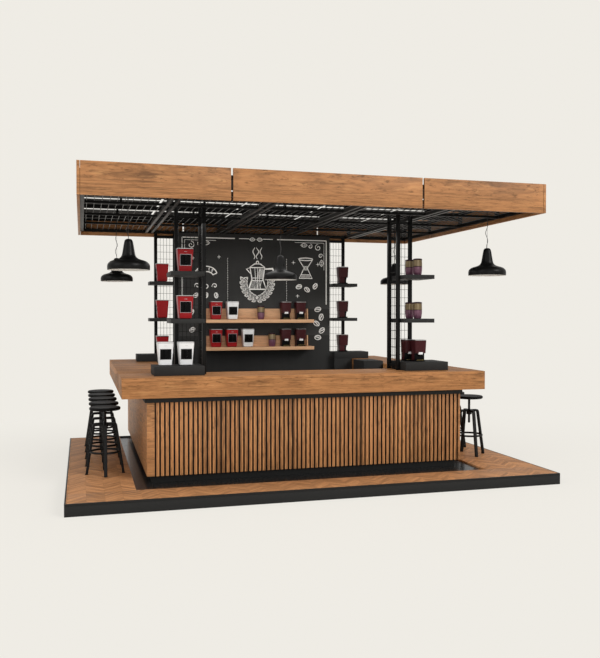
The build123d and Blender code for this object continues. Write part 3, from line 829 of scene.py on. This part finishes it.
    def branch(self, x, z, side, length=0.40):
        """A curved twig with leaves on both sides and berries at its foot."""
        stem = arc(x, z + length * 0.62, length * 0.62, length * 0.62, 268, 268 + side * 104, 16)
        self.stroke(stem, 0.007)
        for k in range(2, 16, 2):
            here, there = Vector(stem[k]), Vector(stem[min(k + 1, 16)])
            heading = math.degrees(math.atan2(*(there - here).yx))
            self.leaf(here.x, here.y, 0.082, heading + side * 42, 2)
            self.leaf(here.x, here.y, 0.074, heading - side * 42, 2)

    def dotted(self, x, low, high):
        count = int((high - low) / 0.024)
        for k in range(count):
            z = low + k * 0.024
            self.stroke([(x, z), (x, z + 0.011)], 0.006)

    def hourglass(self, x, z):
        """A waisted filter jug with its cone of paper."""
        self.stroke(mirrored(x, [(0.105, z + 0.27), (0.022, z + 0.145), (0.095, z)]), 0.009)
        self.stroke(arc(x, z + 0.27, 0.105, 0.018, 0, 350, 20), 0.007, True)
        for half, level, width in ((0.066, 0.052, 0.007), (0.045, 0.118, 0.006), (0.045, 0.170, 0.006)):
            self.stroke([(x - half, z + level), (x + half, z + level)], width)
        for k in range(9):
            u = x - 0.06 + k * 0.015
            self.stroke([(u, z + 0.010), (u + 0.004, z + 0.046)], 0.0055)
        for k in range(-2, 3):
            self.stroke([(x + k * 0.016, z + 0.122), (x + k * 0.014, z + 0.166)], 0.006)

    def croissant(self, x, z, size):
        outer = arc(x, z, size, size * 0.72, 8, 172, 22)
        inner = arc(x, z - size * 0.10, size * 0.62, size * 0.34, 172, 8, 18)
        self.stroke(outer + inner, 0.008, True)
        for angle in (38, 64, 90, 116, 142):
            turn = math.radians(angle)
            near = (x + size * 0.60 * math.cos(turn), z - size * 0.10 + size * 0.36 * math.sin(turn))
            far = (x + size * 0.97 * math.cos(turn + 0.12), z + size * 0.70 * math.sin(turn + 0.12))
            self.stroke([near, far], 0.006)
            mid = math.radians(angle + 9)
            for reach in (0.70, 0.80, 0.90):
                u = x + size * reach * math.cos(mid)
                v = z - size * 0.02 + size * reach * 0.66 * math.sin(mid)
                self.stroke([(u, v), (u + 0.012, v + 0.014)], 0.004)

    def star(self, x, z, size):
        for k in range(4):
            turn = math.radians(45 * k)
            reach = size if k % 2 == 0 else size * 0.5
            u, v = reach * math.cos(turn), reach * math.sin(turn)
            self.stroke([(x - u, z - v), (x + u, z + v)], 0.0045)

    def draw_chalk(self):
        self.mesh = bmesh.new()
        self.border()
        self.pot(0.02, 2.14)
        for dx, sway in ((-0.05, 0.014), (0.0, -0.018), (0.05, 0.014)):
            self.steam(0.02 + dx, 2.56, 0.16, sway)
        self.branch(-0.03, 1.99, 1)
        self.branch(0.07, 1.99, -1)
        for x in (-0.40, 0.44):
            self.dotted(x, 1.98, 2.60)
        self.hourglass(0.72, 2.30)
        self.croissant(-0.70, 2.34, 0.15)
        for x, z in ((-0.88, 2.56), (-0.52, 2.58), (0.54, 2.52), (0.90, 2.50), (0.60, 2.05)):
            self.star(x, z, 0.026)
        for k in range(3):
            self.spiral(-0.82 + 0.12 * k, 2.18, 0.040, 200, 1.1, 1 if k % 2 else -1)
        for size, *spots in (
            (0.042, (0.62, 2.18, 20), (0.74, 2.14, -35), (0.86, 2.19, 60)),
            (0.036, (-0.84, 2.05, -138), (-0.70, 2.05, -110), (-0.56, 2.05, -82)),
            (0.046, (0.90, 1.86, 15), (0.95, 1.75, 80), (0.88, 1.66, -30), (0.96, 1.56, 45), (0.90, 1.46, 0)),
            (0.040, (-0.90, 1.82, 60), (-0.95, 1.70, -20), (-0.89, 1.58, 35)),
        ):
            for x, z, turn in spots:
                self.bean(x, z, size, turn)
        piece("chalk_drawing", self.mesh, ["chalk"])

    def execute(self, context):
        self.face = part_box("back_wall")[0][1]
        eased("back_wall", "chalkboard", 0.002)
        dress("wall_cheeks", "cheek_black")
        self.draw_chalk()
        ledge, inset, board, depth = 0.045, 0.045, 0.018, 0.070
        for node in ("wall_shelf_upper", "wall_shelf_lower"):
            low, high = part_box(node)
            mesh = bmesh.new()
            top = low[2] + ledge
            left, right, back = low[0] + inset, high[0] - inset, high[1] - board
            block(mesh, low, (high[0], high[1], top), 0.002)
            block(mesh, (left, back, top), (right, high[1], high[2]), 0.0015)
            for x in (right - board, left):
                block(mesh, (x, high[1] - depth, top), (x + board, back, high[2]), 0.0015)
            piece(node + "_boards", mesh, ["shelf_wood"], (node,))
        return {"FINISHED"}


class KIOSK_OT_towers(bpy.types.Operator):
    """Build the display towers: posts, rails, wire mesh, shelves and base boxes"""

    bl_idname = "kiosk.towers"
    bl_label = "Display towers"

    def execute(self, context):
        eased("tower_posts", "black_steel", 0.003)
        eased("tower_rails", "black_steel", 0.0015)
        eased("tower_shelves", "tower_shelf_black", 0.0015)
        eased("tower_boxes", "box_black", 0.002)
        radius = looks().wire / 2
        columns, rows = looks().mesh_columns, looks().mesh_rows
        for node in ("tower_mesh_front", "tower_mesh_back"):
            mesh = bmesh.new()
            for low, high in islands(node):
                flat = 0 if high[0] - low[0] < high[1] - low[1] else 1
                wide = 1 - flat
                mid = (low[flat] + high[flat]) / 2

                def point(u, z, offset=0.0):
                    spot = [0.0, 0.0, z]
                    spot[wide] = low[wide] + radius + (high[wide] - low[wide] - 2 * radius) * u
                    spot[flat] = mid + offset
                    return spot

                for column in range(columns + 1):
                    u = column / columns
                    bar(mesh, [point(u, low[2]), point(u, high[2])], radius, radius, (1, 1, 0), sides=6)
                for row in range(rows + 1):
                    z = low[2] + radius + (high[2] - low[2] - 2 * radius) * row / rows
                    bar(mesh, [point(0.0, z), point(1.0, z)], radius, radius, (0, 0, 1), sides=6)
            piece(node + "_wires", mesh, ["black_steel"], (node,))
        return {"FINISHED"}


class KIOSK_OT_roof(bpy.types.Operator):
    """Build the roof: wooden edge boards, black grid, loose ceiling panels and thin rods"""

    bl_idname = "kiosk.roof"
    bl_label = "Roof"

    rail_width = 0.045
    rod_radius, rod_drop, rod_clearance = 0.0035, 0.004, 0.004
    tie_places = (-0.935, 0.020, 0.895)
    tie_width, tie_height = 0.020, 0.026

    def execute(self, context):
        for side in SIDES:
            eased("fascia_" + side, "roof_wood", 0.002)
        for node in ("roof_rails", "roof_beams"):
            dress(node, "black_steel")
        # The joists take the lighter copy of the black steel: painted light.
        eased("roof_joists", "joist_grey", 0.002)
        eased("roof_panels", "roof_board", 0.0012)
        low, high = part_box("roof_joists")
        spacing = looks().rod_spacing
        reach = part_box("roof_rails")[1][0] - self.rail_width
        count = int(2 * reach / spacing)
        z = high[2] - self.rod_drop
        gap = self.rod_clearance
        joists = [(left[0] - gap, right[0] + gap) for left, right in islands("roof_joists")]
        rods = bmesh.new()
        for k in range(count + 1):
            x = (k - count / 2) * spacing
            if not any(left < x < right for left, right in joists):
                bar(rods, [(x, low[1], z), (x, high[1], z)], self.rod_radius, self.rod_radius, sides=6)
        piece("ceiling_rods", rods, ["rod_steel"])
        ties = bmesh.new()
        half, foot = self.tie_width / 2, low[2] + 0.002
        for y in self.tie_places:
            block(ties, (-reach, y - half, foot), (reach, y + half, foot + self.tie_height))
        piece("ceiling_ties", ties, ["black_steel"])
        return {"FINISHED"}


class KIOSK_OT_lamps(bpy.types.Operator):
    """Hang the pendant lamps: bell shades, bulbs, straight wires and slack cords"""

    bl_idname = "kiosk.lamps"
    bl_label = "Pendant lamps"

    outline = (
        (0.199, 0.000), (0.2005, 0.006), (0.2008, 0.035), (0.197, 0.052), (0.188, 0.066), (0.172, 0.080),
        (0.148, 0.090), (0.118, 0.098), (0.092, 0.108), (0.074, 0.122), (0.064, 0.140), (0.058, 0.168),
        (0.050, 0.218), (0.043, 0.258), (0.038, 0.278), (0.030, 0.290), (0.018, 0.2955),
    )
    route = (
        (0.000, 0.000, 0.000), (0.000, 0.000, 0.034), (0.020, 0.003, 0.076), (0.008, 0.006, 0.122),
        (-0.014, 0.004, 0.164), (0.002, 0.002, 0.208), (0.016, 0.001, 0.246), (0.004, 0.000, 0.300),
    )
    shell = 0.003
    wire_radius = 0.0015
    cord_radius = 0.003
    cord_behind = 0.014
    shade_sides, fitting_sides = 56, 24

    def cord(self, name, x, y, cap, top):
        side = 1 if x >= 0 else -1
        points = [(x + side * u, y + self.cord_behind + v, cap + w) for u, v, w in self.route]
        points.append((*points[-1][:2], top))
        data = bpy.data.curves.new(name, "CURVE")
        data.dimensions = "3D"
        data.bevel_depth = self.cord_radius
        data.bevel_resolution = 3
        data.resolution_u = 10
        spline = data.splines.new("NURBS")
        spline.points.add(len(points) - 1)
        for spot, point in zip(spline.points, points):
            spot.co = (*point, 1.0)
        spline.order_u = 3
        spline.use_endpoint_u = True
        data.materials.append(finish_of("cord_rubber"))
        made = shown(name, data)
        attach(made, "root")
        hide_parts("lamp_cords")

    def execute(self, context):
        outer, inner, fittings, wires = (bmesh.new() for _ in range(4))
        lining = [(r - self.shell, h) for r, h in self.outline[:-3]]
        joint = (self.outline[-1], (0.0165, 0.2958))
        holder = ((0.0, 0.245), (0.024, 0.245), (0.024, 0.150), (0.020, 0.142), (0.0, 0.142))
        bulb = arc(0.0, 0.100, 0.034, 0.036, -90, 62, 12) + [(0.014, 0.150)]
        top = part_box("lamp_wires")[1][2]
        for low, high in islands("lamp_shades"):
            x, y = middle_of(low, high)
            foot = (x, y, low[2])
            turned(outer, self.outline, foot, self.shade_sides)
            turned(outer, joint, foot, self.shade_sides, cap_high=True)
            turned(outer, (self.outline[0], lining[0]), foot, self.shade_sides)
            turned(inner, lining, foot, self.shade_sides, cap_high=True)
            turned(fittings, holder, foot, self.fitting_sides, 1)
            turned(fittings, bulb, foot, self.fitting_sides)
            wire = [(x, y, high[2] - 0.004), (x, y, top)]
            bar(wires, wire, self.wire_radius, self.wire_radius, (0, 1, 0), sides=8)
            name = "centre"
            if abs(x) >= 0.1:
                name = ("front_" if y < 0 else "back_") + ("left" if x < 0 else "right")
            self.cord("lamp_cord_" + name, x, y, high[2], top)
        piece("lamp_shells", outer, ["lamp_enamel"], ("lamp_shades",), crease=50)
        piece("lamp_linings", inner, ["lamp_lining"], ("lamp_shades",), crease=50)
        piece("lamp_bulbs", fittings, ["bulb_glass", "lamp_enamel"])
        piece("lamp_wires_round", wires, ["steel_wire"], ("lamp_wires",))
        return {"FINISHED"}


class KIOSK_OT_stools(bpy.types.Operator):
    """Build the ten stools: bent-bar frames, foot rings, hubs, screws and round seats"""

    bl_idname = "kiosk.stools"
    bl_label = "Stools"

    hub_low, hub_height = 0.480, 0.060
    bore = 0.0153
    ring_height, ring_radius, ring_tube = 0.237, 0.150, 0.0112
    seat_depth, collar_depth = 0.034, 0.012
    bolt_radius, bolt_drop = 0.034, 0.0115
    foot_radius = 0.188
    hub = (
        (bore, 0.0), (0.027, 0.0), (0.031, 0.004), (0.032, 0.020), (0.0295, 0.024), (0.0295, 0.050),
        (0.0318, 0.054), (0.0318, 0.059), (bore, 0.060), (bore, 0.0),
    )
    pad = ((0.0, 0.0), (0.017, 0.0), (0.018, 0.002), (0.017, 0.006), (0.0, 0.008))
    seat = (
        (0.0, 0.0), (0.120, 0.0), (0.150, 0.001), (0.1575, 0.006), (0.1598, 0.014), (0.1598, 0.022),
        (0.1575, 0.029), (0.150, 0.0334), (0.142, 0.034), (0.125, 0.0322), (0.070, 0.0288), (0.0, 0.028),
    )
    collar = (
        (0.0, -0.012), (0.018, -0.012), (0.040, -0.008), (0.0445, -0.006), (0.0445, -0.0002), (0.0, -0.0002),
    )
    bolt = ((0.0, -0.0005), (0.0045, -0.0005), (0.0052, 0.002), (0.0052, 0.004))

    def frame(self, mesh, x, y, deck):
        hub_top = deck + self.hub_low + self.hub_height
        turned(mesh, self.hub, (x, y, deck + self.hub_low), 28)
        bend = arc(0.094, hub_top - 0.036, 0.019, 0.021, 90, 14, 6)
        path = [(0.026, hub_top - 0.0145), (0.060, hub_top - 0.0145), *bend, (0.187, deck + 0.004)]
        for c, s in circle(4):
            heading = Vector((c, s, 0))
            points = [Vector((x, y, z)) + heading * r for r, z in path]
            bar(mesh, points, 0.0130, 0.0175, heading.cross(Vector((0, 0, 1))), 0.003)
            turned(mesh, self.pad, Vector((x, y, deck)) + heading * self.foot_radius, 16, 1)
        tube = [
            (self.ring_radius + self.ring_tube * c, deck + self.ring_height + self.ring_tube * s)
            for c, s in circle(10)
        ]
        rings = [[(x + r * c, y + r * s, z) for r, z in tube] for c, s in circle(48)]
        skin(mesh, rings + [rings[0]])

    def screw(self, mesh, x, y, low, high):
        """A cut thread: each ring's radius follows the turn of the helix."""
        pitch = looks().thread_pitch
        core, crest_height, run_out, sides = 0.0128, 0.0020, 0.004, 18
        rings = []
        count = int((high - low) / (pitch / 4))
        for k in range(count + 1):
            z = low + (high - low) * k / count
            fade = min(1.0, (z - low) / run_out)
            ring = []
            for i, (c, s) in enumerate(circle(sides)):
                crest = 1 - abs(2 * ((z / pitch - i / sides) % 1.0) - 1)
                radius = core + crest_height * crest * fade
                ring.append((x + radius * c, y + radius * s, z))
            rings.append(ring)
        skin(mesh, rings, 1, True, True)

    def execute(self, context):
        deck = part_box("deck_front")[1][2]
        for side in ("left", "right"):
            frames = bmesh.new()
            for index in range(1, 6):
                node = f"seat_{side}_{index}"
                low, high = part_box(node)
                x, y = middle_of(low, high)
                under = high[2] - self.seat_depth
                self.frame(frames, x, y, deck)
                seat = bmesh.new()
                turned(seat, self.seat, (x, y, under), 64)
                turned(seat, self.collar, (x, y, under), 36)
                for k in range(3):
                    turn = math.radians(120 * k + 30)
                    aside = (self.bolt_radius * math.cos(turn), self.bolt_radius * math.sin(turn))
                    spot = (x + aside[0], y + aside[1], under - self.bolt_drop)
                    turned(seat, self.bolt, spot, 10, 1)
                self.screw(seat, x, y, low[2], under - self.collar_depth)
                finishes = ["seat_black", "screw_steel"]
                piece(node + "_dressed", seat, finishes, (node,), node + "_body")
            node = "stool_frames_" + side
            piece(node + "_dressed", frames, ["stool_steel", "stool_rubber"], (node,))
        return {"FINISHED"}


class KIOSK_OT_goods(bpy.types.Operator):
    """Build the machines and canisters that stand on the shelves"""

    bl_idname = "kiosk.goods"
    bl_label = "Goods"

    spread = {"red": 0.018, "white": 0.018, "maroon": 0.0111}
    rim_depth, neck_depth = 0.010, 0.003
    # The places of the machines' finishes in their list.
    shell, black, silver, milk, brass, glint, grey = range(7)
    lower = (
        (0.0, 0.0), (0.036, 0.0), (0.041, 0.003), (0.046, 0.022),
        (0.0505, 0.055), (0.0515, 0.082), (0.0515, 0.094),
    )
    band = ((0.0515, 0.094), (0.0503, 0.096), (0.0503, 0.100), (0.0515, 0.102))
    upper = ((0.0515, 0.102), (0.0512, 0.128), (0.0500, 0.158), (0.0495, 0.170))
    lid = (
        (0.0495, 0.170), (0.0508, 0.172), (0.0508, 0.180), (0.047, 0.186),
        (0.030, 0.189), (0.012, 0.190), (0.0, 0.190),
    )

    def bucket(self, low, high, size_low, size_high, finish=0, corner=0.018, eased_ends=True):
        """Loft a rounded-corner tapered body between two heights."""
        steps = ((0.0, 0.0), (1.0, 0.0))
        if eased_ends:
            steps = ((0.0, -0.004), (0.010, 0.0), (0.5, 0.0), (0.990, 0.0), (1.0, -0.004))
        rings = []
        for share, inset in steps:
            z = low + (high - low) * share
            half_x, half_y = (
                (a + (b - a) * share) / 2 + inset - corner for a, b in zip(size_low, size_high)
            )
            ring = []
            for cx, cy, start in ((1, -1, -90), (1, 1, 0), (-1, 1, 90), (-1, -1, 180)):
                rounded = arc(cx * half_x, cy * half_y, corner, corner, start, start + 90, 4)
                ring += [self.put(px, py, z) for px, py in rounded]
            rings.append(ring)
        skin(self.mesh, rings, finish, True, True)

    def slab(self, half, y_range, z_range, finish, edge=0.0015):
        """Add a block across the middle of the machine."""
        part = bmesh.new()
        block(part, (-half, y_range[0], z_range[0]), (half, y_range[1], z_range[1]), edge, finish)
        known = {vert: self.mesh.verts.new(self.put(*vert.co)) for vert in part.verts}
        for face in part.faces:
            self.mesh.faces.new([known[v] for v in face.verts]).material_index = finish
        part.free()

    def window(self, half, foot, top, proud, finish):
        """Set a pane into the sloping front."""
        front, rear = (
            [
                self.mesh.verts.new(self.put(x, -self.half_size(z)[1] - out, z))
                for x, z in ((-half, foot), (half, foot), (half, top), (-half, top))
            ]
            for out in (proud, -0.004)
        )
        self.mesh.faces.new(front).material_index = finish
        for i in range(4):
            j = (i + 1) % 4
            self.mesh.faces.new((front[i], rear[i], rear[j], front[j])).material_index = finish

    def maroon_body(self, rim):
        """A head on a column, with a spout over a tray."""
        wide, deep = self.half_size(0)
        lip = self.half_size(0.09)[1]
        back, head = 0.014, 0.092
        self.slab(wide - 0.006, (-deep + 0.022, -back), (0.014, 0.094), self.black, 0.001)
        self.bucket(head, rim, [2 * v for v in self.half_size(head)], [2 * v for v in self.half_size(rim)])
        self.slab(wide - 0.002, (-back, deep - 0.002), (0.004, 0.096), self.shell)
        self.slab(wide - 0.008, (-back - 0.004, -back + 0.002), (0.008, 0.094), self.black, 0.001)
        self.slab(wide - 0.002, (-deep, deep), (0.0, 0.014), self.black)
        self.slab(0.046, (-deep - 0.001, -deep + 0.006), (0.0145, 0.018), self.brass, 0.0006)
        # A lighter grey plate on the tray's top: a painted glint.
        self.slab(0.042, (-deep + 0.008, -back - 0.006), (0.014, 0.0165), self.glint, 0.0006)
        self.slab(0.026, (-lip - 0.002, -lip + 0.034), (0.078, 0.106), self.milk, 0.004)
        self.slab(0.016, (-lip + 0.008, -lip + 0.028), (0.062, 0.080), self.black, 0.002)

    def window_body(self, rim, red):
        """A plain bucket with a framed window and a handle."""
        wide, deep = self.half_size(0)
        self.bucket(0.006, rim, (2 * wide, 2 * deep), [2 * v for v in self.half_size(rim)])
        self.slab(wide - 0.010, (-deep + 0.010, deep - 0.010), (0.0, 0.008), self.black)
        foot, top = (0.067, 0.179) if red else (0.066, 0.172)
        half, trim = 0.056, 0.0028
        self.window(half + trim, foot - trim, top + trim, 0.0012, self.silver if red else self.grey)
        self.window(half, foot, top, 0.0024, self.black)
        badge = self.half_size(0.208)[1]
        self.slab(0.014, (-badge - 0.0012, -badge + 0.004), (0.206, 0.209), self.silver, 0.0006)
        reach = self.half_size(0.12)[1]
        self.slab(0.010, (-reach - 0.032, -reach - 0.018), (0.090, 0.172), self.black, 0.005)
        for level in (0.096, 0.154):
            self.slab(0.007, (-reach - 0.020, -reach + 0.004), (level, level + 0.012), self.black, 0.002)

    def machine(self, low, high, kind, turn):
        """One machine: local -Y is its front, and it widens from its foot to its top."""
        middle = middle_of(low, high)
        c, s = math.cos(turn), math.sin(turn)
        size = (high[0] - low[0], high[1] - low[1])
        if abs(s) > 0.5:
            size = size[::-1]
        tall = high[2] - low[2]
        spread = 2 * self.spread[kind]
        self.put = lambda x, y, z: (middle[0] + c * x - s * y, middle[1] + s * x + c * y, low[2] + z)
        self.half_size = lambda z: [(side - spread + spread * z / tall) / 2 for side in size]
        rim = tall - self.rim_depth
        if kind == "maroon":
            self.maroon_body(rim)
        else:
            self.window_body(rim, kind == "red")
        neck_top = rim + self.neck_depth
        neck = [2 * half - 0.006 for half in self.half_size(rim)]
        self.bucket(rim, neck_top, neck, neck, self.black, 0.016, False)
        brim = [2 * half - 0.002 for half in self.half_size(tall)]
        self.bucket(neck_top, tall, brim, size, self.milk if kind == "white" else self.silver)

    def execute(self, context):
        others = ["goods_" + name for name in ("black", "silver", "cup", "brass", "glint", "grey")]
        for kind in self.spread:
            node = "machines_" + kind
            self.mesh = bmesh.new()
            for low, high in islands(node):
                turn = 0.0
                if low[1] > 1.45 and abs(low[0]) > 1.1:
                    turn = math.copysign(math.pi / 2, low[0])
                self.machine(low, high, kind, turn)
            piece(node + "_dressed", self.mesh, ["shell_" + kind, *others], (node,))
        mesh = bmesh.new()
        for low, high in islands("canisters"):
            foot = (*middle_of(low, high), low[2])
            for profile, finish in ((self.lower, 0), (self.band, 2), (self.upper, 1), (self.lid, 2)):
                turned(mesh, profile, foot, 36, finish)
        finishes = ["tin_plum", "tin_amber", "tin_cap"]
        piece("canisters_dressed", mesh, finishes, ("canisters",))
        return {"FINISHED"}


class KIOSK_OT_stage(bpy.types.Operator):
    """Set the floor, the plain backdrop, the lamps and the camera"""

    bl_idname = "kiosk.stage"
    bl_label = "Stage"

    white_light = (1.0, 0.985, 0.96)

    def backdrop(self):
        """Show the plain colour to the camera and light the rest with a soft white."""
        world = bpy.data.worlds.new("backdrop")
        world.use_nodes = True
        tree = world.node_tree
        tree.nodes.clear()
        output = tree.nodes.new("ShaderNodeOutputWorld")
        mix = tree.nodes.new("ShaderNodeMixShader")
        path = tree.nodes.new("ShaderNodeLightPath")
        tree.links.new(path.outputs["Is Camera Ray"], mix.inputs[0])
        for place, colour, strength in ((1, self.white_light, 0.62), (2, looks().backdrop, 1.0)):
            glow = tree.nodes.new("ShaderNodeBackground")
            glow.inputs["Color"].default_value = (*colour, 1.0)
            glow.inputs["Strength"].default_value = strength
            tree.links.new(glow.outputs[0], mix.inputs[place])
        tree.links.new(mix.outputs[0], output.inputs["Surface"])
        bpy.context.scene.world = world

    def floor(self):
        """A floor that the camera sees in the backdrop's colour, with a faint shade near the kiosk."""
        mesh = bmesh.new()
        turned(mesh, ((0.0, 0.0), (6.0, 0.0), (60.0, 0.0)), (0, 0, -0.0005), 64)
        data = bpy.data.meshes.new("studio_floor")
        mesh.to_mesh(data)
        mesh.free()
        finish = Finish("studio_floor", roughness=0.9)
        colour = tuple(looks().backdrop)
        finish.feed("Base Color", colour)
        x, y, _ = finish.place()
        distance = finish.node("Math", {"operation": "SQRT"}, (x * x * 0.62 + y * y,))
        near = 1.0 - finish.fade(distance, 2.2, 5.5)
        seen = finish.node("LightPath", output=0)
        glow = finish.node("Emission", None, {"Color": (*colour, 1.0), "Strength": 1.0})
        surface = Channel(finish, finish.shader.outputs[0])
        mixed = finish.node("MixShader", None, (seen * (1.0 - near * 0.22), surface, glow))
        output = finish.tree.nodes["Material Output"]
        finish.tree.links.new(mixed.socket, output.inputs["Surface"])
        data.materials.append(finish.material)
        shown("studio_floor", data)

    def lamp(self, name, kind, place, aim, energy, colour, **settings):
        data = bpy.data.lights.new(name, kind)
        data.energy = energy
        data.color = colour
        for setting, value in settings.items():
            setattr(data, setting, value)
        made = shown(name, data)
        made.location = place
        made.rotation_euler = (Vector(aim) - Vector(place)).to_track_quat("-Z", "Y").to_euler()
        made.visible_camera = False

    def execute(self, context):
        self.backdrop()
        self.floor()
        plain = (1.0, 1.0, 1.0)
        for name, place, aim, energy, colour, angle in (
            ("key", (7.0, -8.5, 7.5), (0.0, 0.0, 1.0), 1.75, self.white_light, 24),
            ("low_fill", (-2.0, -12.0, 3.0), (0.0, 0.0, 1.4), 0.50, plain, 40),
            ("side_fill", (-8.0, -3.0, 5.5), (0.0, 0.0, 1.0), 0.70, plain, 40),
        ):
            self.lamp(name, "SUN", place, aim, energy, colour, angle=math.radians(angle))
        for name, place, aim, energy in (
            ("under_roof", (-0.2, -0.2, 2.74), (-0.2, -0.199, 1.0), 26.0),
            ("ceiling_fill", (-0.2, 0.0, 1.45), (-0.2, 0.001, 3.0), 9.0),
        ):
            self.lamp(name, "AREA", place, aim, energy, self.white_light, shape="DISK", size=2.4)
        data = bpy.data.cameras.new("photo_view")
        data.lens = 42.457
        data.sensor_width = 36.0
        data.clip_end = 200.0
        made = shown("photo_view", data)
        made.location = (-2.3415, -9.0065, 1.7812)
        pitch, yaw = -1.037, -15.711
        made.rotation_euler = (math.radians(90.0 + pitch), 0.0, math.radians(yaw))
        scene = bpy.context.scene
        scene.camera = made
        scene.view_settings.view_transform = "Standard"
        return {"FINISHED"}


OPERATORS = (
    KIOSK_OT_stage,
    KIOSK_OT_platform,
    KIOSK_OT_counter,
    KIOSK_OT_back_wall,
    KIOSK_OT_towers,
    KIOSK_OT_roof,
    KIOSK_OT_lamps,
    KIOSK_OT_stools,
    KIOSK_OT_goods,
)


class KIOSK_PT_panel(bpy.types.Panel):
    """Lists the kiosk's pieces and its sizes and colours"""

    bl_idname = "KIOSK_PT_panel"
    bl_label = "Coffee kiosk"
    bl_space_type = "VIEW_3D"
    bl_region_type = "UI"
    bl_category = "Kiosk"

    def draw(self, context):
        for name in KioskLooks.__annotations__:
            self.layout.prop(context.scene.kiosk, name)
        for operator in OPERATORS:
            self.layout.operator(operator.bl_idname)


CLASSES = (KioskLooks, *OPERATORS, KIOSK_PT_panel)


def register():
    for made in CLASSES:
        bpy.utils.register_class(made)
    bpy.types.Scene.kiosk = bpy.props.PointerProperty(type=KioskLooks)


def unregister():
    del bpy.types.Scene.kiosk
    for made in reversed(CLASSES):
        bpy.utils.unregister_class(made)


def main():
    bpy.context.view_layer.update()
    register()
    for operator in OPERATORS:
        group, call = operator.bl_idname.split(".")
        getattr(getattr(bpy.ops, group), call)()


if __name__ == "__main__":
    main()
